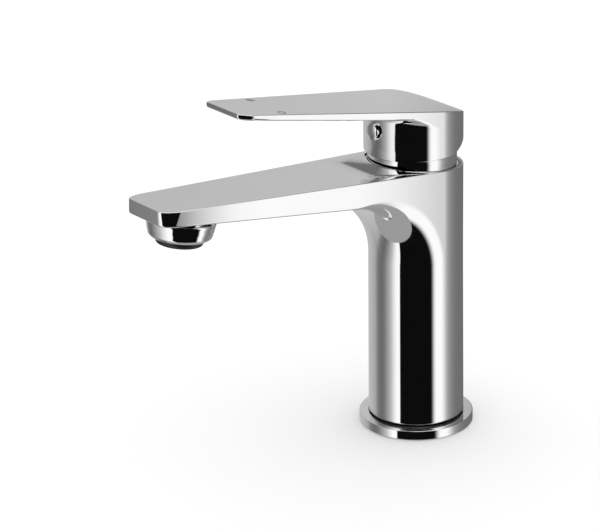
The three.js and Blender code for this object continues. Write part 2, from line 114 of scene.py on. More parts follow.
MARK_X, MARK_Y = 11.4, -85.5
MARK_RADIUS, MARK_HOLE_RADIUS = 2.1, 1.2
MARK_SUNK, MARK_PROUD, MARK_ROUND = 0.5, 0.08, 0.06
AXIS_RADIUS = 0.02                          # where turned profiles end, just off their axis
DOWN = Vector((0, 0, -1))


# ---------------------------------------------------------------- mesh helpers
def lerp(a, b, t):
    return a + (b - a) * t


def conic(start, corner, end, weight, t):
    """A point of the curve that leaves start towards corner and reaches end coming from corner."""
    a, b, c = (1 - t) ** 2, 2 * weight * t * (1 - t), t * t
    return (start * a + corner * b + end * c) / (a + b + c)


def inside_loop(point, loop):
    """Whether a plan point lies inside a loop, by counting the loop's edges on one side of it."""
    inside = False
    for a, b in zip(loop, loop[1:] + loop[:1]):
        if (a.y > point.y) != (b.y > point.y):
            if point.x < a.x + (b.x - a.x) * (point.y - a.y) / (b.y - a.y):
                inside = not inside
    return inside


VERTICES_PER_MM = 2000      # points nearer than this share a vertex
MERGE_DISTANCE = 1e-3


class Skin:
    """A mesh in millimetres whose face corners carry exact normals."""

    def __init__(self):
        self.points, self.index = [], {}
        self.faces, self.normals = [], []

    def vertex(self, point):
        key = tuple(round(c * VERTICES_PER_MM) for c in point)
        if key not in self.index:
            self.index[key] = len(self.points)
            self.points.append(Vector(point))
        return self.index[key]

    def face(self, corners):
        """A face from (point, normal) pairs, turned so that it faces the way its normals do."""
        ids, normals = [], []
        for point, normal in corners:
            i = self.vertex(point)
            if i not in ids:
                ids.append(i)
                normals.append(normal.normalized())
        if len(ids) < 3:
            return
        a, b, c = (self.points[i] for i in (ids[0], ids[1], ids[-1]))
        facing = (b - a).cross(c - a)
        if facing.dot(sum(normals, Vector())) < 0:
            ids.reverse()
            normals.reverse()
        self.faces.append(ids)
        self.normals.extend(normals)

    def grid(self, rows):
        """Faces between neighbouring rows of (point, normal) pairs."""
        for low, high in zip(rows, rows[1:]):
            for i in range(len(low) - 1):
                self.face([low[i], low[i + 1], high[i + 1], high[i]])

    def plate(self, loops, normal):
        """A flat face with an outer loop and any holes."""
        flat = [p for loop in loops for p in loop]
        edges, start = [], 0
        for loop in loops:
            edges += [(start + i, start + (i + 1) % len(loop)) for i in range(len(loop))]
            start += len(loop)
        result = delaunay_2d_cdt([p.xy for p in flat], edges, [], 0, MERGE_DISTANCE)
        places, triangles, origins = result[0], result[2], result[3]
        for triangle in triangles:
            middle = sum((places[i] for i in triangle), Vector((0, 0))) / 3
            if inside_loop(middle, loops[0]) and not any(inside_loop(middle, hole) for hole in loops[1:]):
                self.face([(flat[origins[i][0]], normal) for i in triangle])

    def funnel(self, loops):
        """Rings of faces between closed loops, each ring shaded as its own flat or round band."""
        for low, high in zip(loops, loops[1:]):
            for i in range(len(low)):
                self.band_face(low, high, i)

    def band_face(self, low, high, i):
        a, b, c, d = low[i - 1], low[i], high[i], high[i - 1]
        normal = (c - a).cross(d - b)
        if normal.length == 0:
            return
        count = len(low)
        before = (low[i - 1] - high[i - 2]).cross(low[i - 2] - high[i - 1])
        after = (high[(i + 1) % count] - b).cross(c - low[(i + 1) % count])
        left = normal.normalized() + self.aligned(before, normal)
        right = normal.normalized() + self.aligned(after, normal)
        self.face([(a, left), (b, right), (c, right), (d, left)])

    @staticmethod
    def aligned(other, normal):
        if other.length == 0:
            return Vector()
        unit = other.normalized()
        return unit if unit.dot(normal) > 0 else -unit

    def build(self, name, material, body, slot, replaced):
        mesh = bpy.data.meshes.new(name)
        mesh.from_pydata([p * MM for p in self.points], [], self.faces)
        mesh.materials.append(material)
        mesh.polygons.foreach_set("use_smooth", [True] * len(self.faces))
        mesh.normals_split_custom_set([tuple(n) for n in self.normals])
        piece = bpy.data.objects.new(name, mesh)
        bpy.context.scene.collection.objects.link(piece)
        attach(piece, body)
        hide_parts(replaced)


def rolled_edge(point, wall_normal, flat_normal, radius, steps=5):
    """The rounding from a wall, which ends at point, onto a flat face."""
    centre = point - wall_normal * radius
    row = []
    for i in range(steps + 1):
        turn = math.pi / 2 * i / steps
        normal = wall_normal * math.cos(turn) + flat_normal * math.sin(turn)
        row.append((centre + normal * radius, normal))
    return row


def mirrored(rows):
    flip = Vector((-1, 1, 1))
    return [[(p * flip, n * flip) for p, n in row] for row in rows]


def whole_loop(right):
    """A closed loop from its right half, which starts and ends on the middle plane."""
    left = [Vector((-p.x, p.y, p.z)) for p in reversed(right[1:-1])]
    return right + left


def turned_rows(profile, segments, matrix=Matrix.Identity(4), fillet_steps=4):
    """Closed turned shape from (radius, height, fillet) points: a list of rows of (point, normal)."""
    area = sum(a[0] * b[1] - b[0] * a[1] for a, b in zip(profile, profile[1:] + profile[:1]))
    if area < 0:
        profile = profile[::-1]
    corners = [Vector((r, z)) for r, z, _ in profile]
    section = []
    count = len(corners)
    for i in range(count):
        before = (corners[i] - corners[i - 1]).normalized()
        after = (corners[(i + 1) % count] - corners[i]).normalized()
        normal_in = Vector((before.y, -before.x))
        normal_out = Vector((after.y, -after.x))
        fillet = profile[i][2]
        turn = before.angle(after)
        if fillet and turn > 0.01:
            reach = min(fillet * math.tan(turn / 2), 0.5 * (corners[i] - corners[i - 1]).length,
                        0.5 * (corners[(i + 1) % count] - corners[i]).length)
            start, end = corners[i] - before * reach, corners[i] + after * reach
            for k in range(fillet_steps + 1):
                t = k / fillet_steps
                point = conic(start, corners[i], end, math.cos(turn / 2), t)
                section.append((point, normal_in.slerp(normal_out, t)))
        else:
            section.extend([(corners[i], normal_in), (corners[i], normal_out)])
    section.append(section[0])
    turn_matrix = matrix.to_3x3()
    rows = []
    for step in range(segments + 1):
        turn = 2 * math.pi * (step % segments) / segments
        c, s = math.cos(turn), math.sin(turn)
        row = []
        for point, normal in section:
            place = matrix @ Vector((point.x * c, point.x * s, point.y))
            row.append((place, turn_matrix @ Vector((normal.x * c, normal.x * s, normal.y))))
        rows.append(row)
    return rows


def turned_piece(name, profile, matrix, material, body, slot, replaced, segments=128):
    skin = Skin()
    skin.grid(turned_rows(profile, segments, matrix))
    skin.build(name, material, body, slot, replaced)


# ---------------------------------------------------------------- materials
NOISE_LOW, NOISE_HIGH = 0.3, 0.7            # most noise values lie between these
CLOUD_SHARE, WEAR_SHARE = 0.08, 0.3         # of the grain's fineness


def new_material(name):
    material = bpy.data.materials.new(name)
    material.use_nodes = True
    nodes = material.node_tree.nodes
    nodes.clear()
    return material, nodes, material.node_tree.links


def noise(nodes, links, scale, detail, stretch):
    """Noise over the object's own coordinates; scale is in features per metre."""
    place = nodes.new("ShaderNodeTexCoord")
    source = place.outputs["Object"]
    if stretch:
        mapping = nodes.new("ShaderNodeMapping")
        mapping.inputs["Scale"].default_value = stretch
        links.new(source, mapping.inputs["Vector"])
        source = mapping.outputs["Vector"]
    texture = nodes.new("ShaderNodeTexNoise")
    texture.inputs["Scale"].default_value = scale
    texture.inputs["Detail"].default_value = detail
    links.new(source, texture.inputs["Vector"])
    return texture.outputs["Fac"]


def spread(nodes, links, source, low, high):
    """Noise values around the middle, mapped to low..high."""
    ranged = nodes.new("ShaderNodeMapRange")
    ranged.inputs["From Min"].default_value = NOISE_LOW
    ranged.inputs["From Max"].default_value = NOISE_HIGH
    ranged.inputs["To Min"].default_value = low
    ranged.inputs["To Max"].default_value = high
    links.new(source, ranged.inputs["Value"])
    return ranged.outputs["Result"]


def surface(name, dark, light, metallic, roughness, grain, bump, stretch=None, coat=0.0):
    """A surface with cloudy colour, uneven gloss and a fine relief.
    dark and light are linear colours, roughness a (low, high) pair, grain in features per metre,
    bump the height of the relief in metres."""
    material, nodes, links = new_material(name)
    shader = nodes.new("ShaderNodeBsdfPrincipled")
    output = nodes.new("ShaderNodeOutputMaterial")
    links.new(shader.outputs["BSDF"], output.inputs["Surface"])
    shader.inputs["Metallic"].default_value = metallic
    shader.inputs["Coat Weight"].default_value = coat
    clouds = noise(nodes, links, grain * CLOUD_SHARE, 4.0, stretch)
    blend = nodes.new("ShaderNodeMix")
    blend.data_type = "RGBA"
    blend.inputs["A"].default_value = (*dark, 1)
    blend.inputs["B"].default_value = (*light, 1)
    links.new(spread(nodes, links, clouds, 0, 1), blend.inputs["Factor"])
    links.new(blend.outputs["Result"], shader.inputs["Base Color"])
    wear = noise(nodes, links, grain * WEAR_SHARE, 5.0, stretch)
    links.new(spread(nodes, links, wear, *roughness), shader.inputs["Roughness"])
    relief = nodes.new("ShaderNodeBump")
    relief.inputs["Distance"].default_value = bump
    links.new(noise(nodes, links, grain, 2.0, stretch), relief.inputs["Height"])
    links.new(relief.outputs["Normal"], shader.inputs["Normal"])
    return material


def grey(value):
    return (value, value, value)


chrome = surface("chrome", dark=grey(0.87), light=grey(0.92), metallic=1.0,
                 roughness=(0.035, 0.06), grain=90, bump=0.0000012)
brass = surface("brass", dark=(0.50, 0.36, 0.14), light=(0.62, 0.46, 0.19), metallic=1.0,
                roughness=(0.25, 0.42), grain=900, bump=0.00002, stretch=(1, 1, 14))
steel = surface("steel", dark=grey(0.42), light=grey(0.55), metallic=1.0,
                roughness=(0.22, 0.38), grain=1400, bump=0.00001, stretch=(14, 1, 1))
black_plastic = surface("black_plastic", dark=grey(0.008), light=grey(0.014), metallic=0.0,
                        roughness=(0.35, 0.5), grain=5000, bump=0.00001)
grey_plastic = surface("grey_plastic", dark=grey(0.42), light=grey(0.5), metallic=0.0,
                       roughness=(0.4, 0.55), grain=4000, bump=0.00001)
dark_plastic = surface("dark_plastic", dark=grey(0.03), light=grey(0.045), metallic=0.0,
                       roughness=(0.4, 0.55), grain=4000, bump=0.00001)
ceramic = surface("ceramic", dark=(0.78, 0.76, 0.71), light=(0.86, 0.84, 0.79), metallic=0.0,
                  roughness=(0.12, 0.22), grain=2500, bump=0.000002)
rubber = surface("rubber", dark=grey(0.008), light=grey(0.016), metallic=0.0,
                 roughness=(0.7, 0.9), grain=3000, bump=0.00003)
mark_enamel = surface("mark_enamel", dark=grey(0.10), light=grey(0.13), metallic=0.0,
                      roughness=(0.2, 0.3), grain=3000, bump=0.000002, coat=0.4)
finishes = {"chrome": chrome, "brass": brass, "steel": steel, "black_plastic": black_plastic,
            "grey_plastic": grey_plastic, "dark_plastic": dark_plastic, "ceramic": ceramic, "rubber": rubber}
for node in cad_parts.values():
    for material_slot in node.material_slots:
        material_slot.material = finishes[material_slot.material.name.split(".")[0]]


# ---------------------------------------------------------------- the cast column and spout, and the lever
QUARTER_TURN_WEIGHT = math.sqrt(0.5)        # makes a conic a quarter of a circle
SURFACE_STEP = 1e-4                         # for differences along the surface
SEAM_SEARCH_STEPS = 40
TINY = 1e-14
BEHIND_TIP, UNDER_TOP = 20, 1               # a point this far inside a blade tells inward from outward
ARC_STEPS, WALL_STEPS, BACK_STEPS = 36, 5, 32


class Blade:
    """The right half of a casting: an upright round wall that sweeps forward in a concave arc and runs
    out as a flat blade. The path parameter q is 0..1 up the wall, 1..2 along the arc, 2..3 along the
    blade, 3..4 round the tip's corner and 4..5 across the end face."""

    EDGE_POWER = 0.6        # how fast the flat middle of the nose widens as the nose gets shallower
    skirt_steps = 1         # faces across half of the nose's middle

    def __init__(self, back_radius, nose_radius, nose_y, tip_half_width, length, bottom_z, arc_radius,
                 arc_axis_y, underside_at_axis, underside_rise, top, top_rise, top_round, tip_rounding,
                 tip_corner, tip_corner_top, depth=None, scale=None):
        reach = math.hypot(length, tip_half_width)
        self.lean = math.pi / 2 - math.acos(back_radius / reach) - math.atan2(tip_half_width, length)
        self.cos, self.sin = math.cos(self.lean), math.sin(self.lean)
        self.back_radius, self.nose_radius, self.nose_y = back_radius, nose_radius, nose_y
        self.length, self.bottom_z, self.radius, self.axis_y = length, bottom_z, arc_radius, arc_axis_y
        self.rise, self.tip_rounding = underside_rise, tip_rounding
        self.top, self.top_rise, self.top_round = top, top_rise, top_round
        self.corner, self.corner_bottom = tip_corner
        self.corner_top = tip_corner_top
        self.end_angle = math.pi / 2 - math.atan(underside_rise)
        self.end_y = arc_axis_y + arc_radius * math.cos(self.end_angle)
        self.underside_at_axis = underside_at_axis
        self.axis_z = self.underside(self.end_y) - arc_radius * math.sin(self.end_angle)
        self.weight = math.cos((math.pi / 2 - self.lean) / 2)
        self.full_depth = nose_radius * (1 - self.sin)
        self.depth, self.scale = depth, scale or (lambda z: 1.0)
        self.seam = Vector((back_radius * self.cos, -back_radius * self.sin, 0))
        self.side_normal = Vector((self.cos, -self.sin, 0))
        self.top_normal = Vector((0, top_rise, 1)).normalized()
        self.tip_x = self.side_x(-length)
        self.seam_q = self.find_seam_q()

    def underside(self, y):
        return self.underside_at_axis - self.rise * y

    def side_x(self, y):
        return (self.back_radius + self.sin * y) / self.cos

    def find_seam_q(self):
        """The station whose wall ends where the seam meets the top edge."""
        low, high = 1, 2
        for _ in range(SEAM_SEARCH_STEPS):
            middle = (low + high) / 2
            on_seam = abs(self.station(middle)[3].y - self.seam.y) < SURFACE_STEP
            low, high = (middle, high) if on_seam else (low, middle)
        return low

    def on_side(self, y, z):
        return Vector((self.side_x(y), y, z))

    def station(self, q):
        """Inner end E, corner K and outer end S of the lower rounding, and the wall's top T."""
        if q <= 1:
            z = lerp(self.bottom_z, self.axis_z, q)
            return self.nose(self.nose_y - self.nose_radius, z, 0.0, z - self.axis_z, self.scale(z))
        if q <= 2:
            angle = (q - 1) * self.end_angle
            return self.nose(None, None, angle, self.radius * angle, 1.0)
        if q <= 3:
            return self.along(q - 2)
        return self.tip(q)

    def nose(self, y, z, angle, path, scale):
        depth = self.depth(path)
        forward = Vector((0, math.cos(angle), math.sin(angle)))
        if z is None:
            middle = Vector((0, self.axis_y, self.axis_z)) + forward * self.radius
        else:
            middle = Vector((0, y, z))
        corner = self.on_side(middle.y, middle.z)
        side = middle + forward * depth
        side.x = self.side_x(side.y)
        inner = middle.copy()
        inner.x = corner.x * (1 - (depth / self.full_depth) ** self.EDGE_POWER)
        wall_top = self.wall_top(middle, forward)
        flat = Vector((scale, scale, 1))
        return inner * flat, corner * flat, side * flat, wall_top * flat

    def wall_top(self, middle, forward):
        """Where the line from middle along forward meets the seam or the top edge."""
        to_seam = (self.seam.y - middle.y) / forward.y
        point = middle + forward * to_seam
        if point.z > self.top(point.y) - self.top_round:
            gap = self.top(middle.y) - self.top_round - middle.z
            point = middle + forward * (gap / (forward.z + self.top_rise * forward.y))
        return self.on_side(point.y, point.z)

    def along(self, t):
        inner, corner, side, wall_top = self.station(2)
        width, height = corner.x - inner.x, (side - corner).length
        width = lerp(width, self.tip_rounding[0], t)
        height = lerp(height, self.tip_rounding[1], t)
        tilt = Vector((0, lerp(math.cos(self.end_angle), 0, t), 1)).normalized()
        y = lerp(self.end_y, -self.length + self.corner_bottom, t)
        corner = self.on_side(y, self.underside(y))
        side = corner + tilt * height
        inward = Vector((1, 0, 0)).lerp(self.side_normal, t)
        top_y = lerp(wall_top.y, -self.length + self.corner_top, t)
        return (self.inset(corner, inward, width), corner, self.on_side(side.y, side.z),
                self.on_side(top_y, self.top(top_y) - self.top_round))

    def inset(self, corner, outward, width):
        inner = corner - outward * width
        inner.z = self.underside(inner.y)
        return inner

    def tip_plan(self, q, length):
        """Plan point and outward normal at q, for a corner that takes length from the side."""
        if q > 4:
            return Vector((lerp(self.tip_x - self.corner, 0, q - 4), -self.length, 0)), Vector((0, -1, 0))
        start = self.on_side(-self.length + length, 0)
        corner = self.on_side(-self.length, 0)
        end = corner - Vector((self.corner, 0, 0))
        point = conic(start, corner, end, QUARTER_TURN_WEIGHT, q - 3)
        ahead = conic(start, corner, end, QUARTER_TURN_WEIGHT, q - 3 + SURFACE_STEP)
        behind = conic(start, corner, end, QUARTER_TURN_WEIGHT, q - 3 - SURFACE_STEP)
        tangent = ahead - behind
        return point, Vector((-tangent.y, tangent.x, 0)).normalized()

    def tip(self, q):
        low, outward = self.tip_plan(q, self.corner_bottom)
        high, _ = self.tip_plan(q, self.corner_top)
        corner = Vector((low.x, low.y, self.underside(low.y)))
        side = corner + Vector((0, 0, self.tip_rounding[1]))
        high.z = self.top(high.y) - self.top_round
        return self.inset(corner, outward, self.tip_rounding[0]), corner, side, high

    def skirt(self, q, share):
        """The nose's middle part, from the middle plane out to the lower rounding."""
        inner = self.station(q)[0]
        return Vector((inner.x * share, inner.y, inner.z))

    def point(self, q, v):
        """v is -1..0 across the nose's middle, 0..1 round the lower edge and 1..2 up the wall."""
        if v < 0:
            return self.skirt(q, 1 + v)
        inner, corner, side, wall_top = self.station(q)
        if v <= 1:
            weight = self.weight if q < 3 else QUARTER_TURN_WEIGHT
            return conic(inner, corner, side, weight, v)
        return side.lerp(wall_top, v - 1)

    def corner_of(self, q, v):
        """The surface's point and outward normal, which is across the differences along q and v."""
        step = SURFACE_STEP
        low_q, high_q = max(q - step, 0), min(q + step, 5)
        low_v, high_v = max(v - step, -1 if q <= 2 else 0), min(v + step, 2)
        across = self.point(q, high_v) - self.point(q, low_v)
        along = self.point(high_q, v) - self.point(low_q, v)
        normal = across.cross(along)
        place = self.point(q, v)
        if normal.length < TINY:
            return place, self.side_normal
        normal.normalize()
        if q <= 1:
            inside = Vector((0, 0, place.z))
        else:
            behind_tip = max(place.y, -self.length + BEHIND_TIP)
            inside = Vector((0, behind_tip, self.top(place.y) - UNDER_TOP))
        return place, normal if normal.dot(place - inside) > 0 else -normal


def path_steps(blade):
    """The path's stations. One falls where the seam of the round back meets the top edge."""
    seam = blade.seam_q
    counts = ((0, 1, 10), (1, seam, 20), (seam, 2, 26), (2, 3, 8), (3, 4, 18), (4, 5, 3))
    steps = [start + (end - start) * i / n for start, end, n in counts for i in range(n)]
    return steps + [5], seam


def casting(blade, base_z, base_round, open_top, outlet, inner_loops):
    """The closed skin of a casting. base_z(y) is the height at which its lower edge starts to round,
    open_top says whether its inside opens through its top, outlet lists the loops of the blind hole in
    its underside, and inner_loops makes the loops that line its inside."""
    skin = Skin()
    steps, seam = path_steps(blade)
    across = [i / ARC_STEPS for i in range(ARC_STEPS)]
    across += [1 + i / WALL_STEPS for i in range(WALL_STEPS + 1)]
    rows = [[blade.corner_of(q, v) for v in across] for q in steps]
    middle = [i / blade.skirt_steps - 1 for i in range(blade.skirt_steps + 1)]
    middle_rows = [[blade.corner_of(q, v) for v in middle] for q in steps if q <= 2]

    def add_both(part):
        skin.grid(part)
        skin.grid(mirrored(part))

    add_both(rows)
    add_both(middle_rows)

    # the round back, whose rows start at the seam
    seam_z = [row[-1][0].z for q, row in zip(steps, rows) if q <= seam + 1e-9]
    start_angle = -blade.lean
    back = []
    for z in seam_z:
        share = (z - seam_z[0]) / (seam_z[-1] - seam_z[0])
        row = []
        for i in range(BACK_STEPS + 1):
            turn = lerp(start_angle, math.pi / 2, i / BACK_STEPS)
            outward = Vector((math.cos(turn), math.sin(turn), 0))
            y = blade.back_radius * outward.y
            top = blade.top(y) - blade.top_round
            height = lerp(base_z(y), top, share)
            point = outward * (blade.back_radius * blade.scale(height))
            row.append((Vector((point.x, point.y, height)), outward))
        back.append(row)
    add_both(back)

    # the top edge, from the middle of the back round to the middle of the end face
    top_corners = list(reversed(back[-1])) + [row[-1] for q, row in zip(steps, rows) if q > seam + 1e-9]
    top_rows = [rolled_edge(p, n, blade.top_normal_at(p.y), blade.top_round) for p, n in top_corners]
    add_both(top_rows)
    rim = [row[-1][0] for row in top_rows]

    # the lower edge, rounded onto the base
    base_corners = [c for c in middle_rows[0][:-1] if c[0].x < rows[0][0][0].x] + rows[0] + back[0][1:]
    base_rows = [rolled_edge(p, n, DOWN, base_round) for p, n in base_corners]
    add_both(base_rows)
    base_loop = whole_loop([row[-1][0] for row in base_rows])

    # the underside, from the end of the arc to the tip
    under_half = [p for p, _ in middle_rows[-1][:-1]] + [row[0][0] for q, row in zip(steps, rows) if q >= 2]
    underside_normal = Vector((0, -blade.rise, -1)).normalized()
    loops = [whole_loop(under_half)]
    if outlet:
        loops.append(outlet[0])
        skin.funnel(outlet)
        skin.plate([outlet[-1]], underside_normal)
    skin.plate(loops, underside_normal)

    # the inside, which ends in the opening in the top or in a flat ceiling
    linings = [base_loop] + [inner(base_loop) for inner in inner_loops]
    if open_top:
        skin.plate([whole_loop(rim), linings[-1]], blade.top_normal)
        skin.funnel(linings)
    else:
        normals = [blade.top_normal_at(p.y) for p in rim]
        skin.grid([[(p, n), (Vector((-p.x, p.y, p.z)), n)] for p, n in zip(rim, normals)])
        skin.funnel(linings)
        skin.plate([linings[-1]], DOWN)
    return skin


def soft_step(value, softness):
    """A smooth stand-in for max(value, 0)."""
    return 0.5 * (value + math.sqrt(value ** 2 + 4 * softness ** 2))


def falling_depth(full, edge, softness, share_at):
    """Nose depth along the path: full at the foot, edge where the nose has run out."""
    start = full - edge - softness ** 2 / (full - edge)
    return lambda path: edge + soft_step(start * share_at(path), softness)


def throat_share(path):
    return math.cos(math.pi / 2 * max(path, 0) / THROAT_RADIUS / THROAT_RUN_OUT)


def column_scale(z):
    share = min(max((COLUMN_TAPER_END - z) / (COLUMN_TAPER_END - FOOT_Z), 0), 1)
    return 1 + (COLUMN_RADIUS_FOOT / COLUMN_RADIUS_TOP - 1) * share


def lever_top(y):
    bend = LEVER_BACK_DROP * (y / COLUMN_RADIUS_TOP) ** 2 if y > 0 else 0
    return LEVER_TOP_AT_AXIS - LEVER_TOP_RISE * y - bend


def hub_bottom(y):
    return HUB_BOTTOM + max(y - RELIEF_START, 0) * RELIEF_RISE


def spout_top(y):
    return SPOUT_TOP_AT_AXIS - SPOUT_TOP_RISE * y


def ring_loop(radius, centre_y, height):
    """A circle with a point for each point of the base loop; height is a number or a function of y."""
    def at(base_loop):
        loop = []
        for p in base_loop:
            angle = math.atan2(p.y, p.x)
            x, y = radius * math.cos(angle), centre_y + radius * math.sin(angle)
            loop.append(Vector((x, y, height(y) if callable(height) else height)))
        return loop
    return at


class SpoutBlade(Blade):
    def top_normal_at(self, y):
        return self.top_normal


class LeverBlade(Blade):
    """The lever's round hub runs into the blade's underside through a concave fillet, which the blade's
    flat sides cut off. q 1..2 goes up the fillet."""

    EDGE_LENGTH = 1.0       # of the rounding where the sides cut the fillet
    skirt_steps = 28

    def top_normal_at(self, y):
        bend_slope = 2 * LEVER_BACK_DROP * max(y, 0) / COLUMN_RADIUS_TOP ** 2
        return Vector((0, self.top_rise + bend_slope, 1)).normalized()

    def ring_at(self, q):
        """Radius of the hub or fillet at q, the angle where the side cuts it, and the fillet's angle."""
        angle = max(q - 1, 0) * math.pi / 2
        radius = self.nose_radius + self.radius * (1 - math.cos(angle))
        reach = (self.back_radius + self.nose_y * self.sin) / radius
        return radius, math.asin(min(reach, 1)) - self.lean, angle

    def ring_point(self, q, turn):
        radius, _, angle = self.ring_at(q)
        x, y = radius * math.sin(turn), self.nose_y - radius * math.cos(turn)
        return Vector((x, y, self.height_at(q, y)))

    def height_at(self, q, y):
        foot = self.underside(y) - self.radius
        if q <= 1:
            return lerp(self.bottom_z, foot, q)
        return foot + self.radius * math.sin((q - 1) * math.pi / 2)

    def skirt(self, q, share):
        radius, turn, _ = self.ring_at(q)
        return self.ring_point(q, (turn - self.EDGE_LENGTH / radius) * share)

    def station(self, q):
        if q > 2:
            return super().station(q)
        _, turn, angle = self.ring_at(q)
        corner = self.ring_point(q, turn)
        forward = Vector((0, math.cos(angle), math.sin(angle)))
        side = corner + forward * self.EDGE_LENGTH
        if q <= 1:
            side.z = self.height_at(q, side.y)
        side.x = self.side_x(side.y)
        wall_top = self.wall_top(side, forward)
        if q <= 1:
            wall_top.z = self.height_at(q, wall_top.y)
        return self.skirt(q, 1), corner, side, wall_top

    def along(self, t):
        _, fillet_end, _, wall_top = self.station(2)
        y = lerp(fillet_end.y, -self.length + self.corner_bottom, t)
        corner = self.on_side(y, self.underside(y))
        width = lerp(self.EDGE_LENGTH, self.tip_rounding[0], t)
        height = lerp(self.EDGE_LENGTH, self.tip_rounding[1], t)
        side = corner + Vector((0, 0, height))
        top_y = lerp(wall_top.y, -self.length + self.corner_top, t)
        return (self.inset(corner, self.side_normal, width), corner, side,
                self.on_side(top_y, self.top(top_y) - self.top_round))


spout_blade = SpoutBlade(
    back_radius=COLUMN_RADIUS_TOP, nose_radius=COLUMN_RADIUS_TOP, nose_y=0,
    tip_half_width=SPOUT_TIP_HALF_WIDTH, length=SPOUT_LENGTH, bottom_z=FOOT_Z + FOOT_ROUND,
    arc_radius=THROAT_RADIUS, arc_axis_y=-COLUMN_RADIUS_TOP - THROAT_RADIUS,
    underside_at_axis=SPOUT_UNDERSIDE_AT_AXIS, underside_rise=SPOUT_UNDERSIDE_RISE,
    top=spout_top, top_rise=SPOUT_TOP_RISE, top_round=SPOUT_EDGE_ROUND, tip_rounding=(1.3, 1.1),
    tip_corner=(4.5, 6.5), tip_corner_top=9,
    depth=falling_depth(COLUMN_RADIUS_TOP * NOSE_SHARE, THROAT_EDGE_DEPTH, THROAT_EDGE_SOFTNESS,
                        throat_share),
    scale=column_scale)

aerator_frame = (Matrix.Translation((0, AERATOR_Y, AERATOR_Z))
                 @ Matrix.Rotation(-math.atan(SPOUT_UNDERSIDE_RISE), 4, "X"))


def circle(frame_matrix, radius, height, count, centre_x=0, centre_y=0):
    """Points round a circle that lies in a frame's plane, at a height above it."""
    turns = [2 * math.pi * i / count for i in range(count)]
    return [frame_matrix @ Vector((centre_x + radius * math.cos(t), centre_y + radius * math.sin(t), height))
            for t in turns]


underside_gap = SPOUT_UNDERSIDE_AT_AXIS - SPOUT_UNDERSIDE_RISE * AERATOR_Y - AERATOR_Z
underside_lift = underside_gap * math.cos(math.atan(SPOUT_UNDERSIDE_RISE))
outlet_loops = [circle(aerator_frame, OUTLET_RADIUS, height, OUTLET_SIDES)
                for height in (underside_lift, OUTLET_DEPTH)]
body_linings = [
    ring_loop(SPIGOT_RADIUS, 0, FOOT_Z), ring_loop(SPIGOT_RADIUS, 0, SPIGOT_BOTTOM),
    ring_loop(HOLLOW_RADIUS, 0, SPIGOT_BOTTOM), ring_loop(HOLLOW_RADIUS, 0, HOLLOW_TOP),
    ring_loop(CARTRIDGE_RADIUS, CARTRIDGE_Y, CARTRIDGE_SEAT),
    ring_loop(CARTRIDGE_RADIUS, CARTRIDGE_Y, NUT_SEAT),
    ring_loop(NUT_RADIUS, CARTRIDGE_Y, NUT_SEAT),
    ring_loop(NUT_RADIUS, CARTRIDGE_Y, RING_BORE_SEAT),
    ring_loop(RING_BORE_RADIUS, CARTRIDGE_Y, RING_BORE_SEAT),
    ring_loop(RING_BORE_RADIUS, CARTRIDGE_Y, lambda y: spout_top(y) - RING_BORE_CHAMFER),
    ring_loop(RING_BORE_RADIUS + RING_BORE_CHAMFER, CARTRIDGE_Y, spout_top),
]
body_skin = casting(spout_blade, lambda y: FOOT_Z + FOOT_ROUND, FOOT_ROUND, True, outlet_loops, body_linings)
body_skin.build("column_and_spout", chrome, "root", "chrome", "body_and_spout")

lever_blade = LeverBlade(
    back_radius=COLUMN_RADIUS_TOP, nose_radius=HUB_NOSE_RADIUS, nose_y=HUB_NOSE_Y,
    tip_half_width=LEVER_TIP_HALF_WIDTH, length=LEVER_LENGTH, bottom_z=HUB_BOTTOM + HUB_EDGE_ROUND,
    arc_radius=COVE_RADIUS, arc_axis_y=HUB_NOSE_Y - HUB_NOSE_RADIUS - COVE_RADIUS,
    underside_at_axis=LEVER_UNDERSIDE_AT_AXIS, underside_rise=LEVER_UNDERSIDE_RISE,
    top=lever_top, top_rise=LEVER_TOP_RISE, top_round=LEVER_EDGE_ROUND, tip_rounding=(1.2, 1.2),
    tip_corner=(2.8, 7.5), tip_corner_top=7.5)
lever_linings = [ring_loop(HUB_CAVITY_RADIUS, CARTRIDGE_Y, height) for height in (hub_bottom, HUB_CAVITY_TOP)]
lever_skin = casting(lever_blade, lambda y: hub_bottom(y) + HUB_EDGE_ROUND, HUB_EDGE_ROUND, False, None,
                     lever_linings)
lever_skin.build("lever_casting", chrome, "lever", "chrome", "lever_handle")


# ---------------------------------------------------------------- turned pieces
# Each profile goes round its section as (radius, height, fillet) points.
flange_inner, flange_step, flange_lip = 20.9, 24.8, 22.6
flange_under, flange_floor, flange_seat = 0.3, 1.9, 3.0
turned_piece("foot_flange", [
    (flange_inner, flange_floor, 0), (flange_step, flange_floor, 0), (flange_step, flange_under, 0),
    (FLANGE_RADIUS, flange_under, 0.3), (FLANGE_RADIUS, FLANGE_TOP, 0.5), (flange_lip, FLANGE_TOP, 0.2),
    (flange_lip, flange_seat, 0), (flange_inner, flange_seat, 0)],
    Matrix.Identity(4), chrome, "root", "chrome", "base_flange")


def dome(radius, start, end, steps=8):
    """Profile points on a sphere round the lever's pin, from one distance from the axis to another."""
    radii = [lerp(start, end, i / steps) for i in range(steps + 1)]
    return [(r, PIVOT_Z + math.sqrt(radius ** 2 - r ** 2), DOME_FILLET) for r in radii]


cartridge_frame = Matrix.Translation((0, CARTRIDGE_Y, 0))
ring_inner, dome_edge, dome_mouth = 16.4, 16, 12.6
turned_piece("cover_ring", [
    (ring_inner, RING_SEAT, 0), (RING_RADIUS, RING_SEAT, 0), (RING_RADIUS, RING_BAND_TOP, 0.5),
    (RING_TOP_RADIUS, RING_TOP, 0.5), (dome_edge + 0.8, RING_TOP, 0.2),
    *dome(DOME_RADIUS, dome_edge, dome_mouth), *dome(DOME_RADIUS - DOME_WALL, dome_mouth, ring_inner)],
    cartridge_frame, chrome, "root", "chrome", "bonnet_ring")

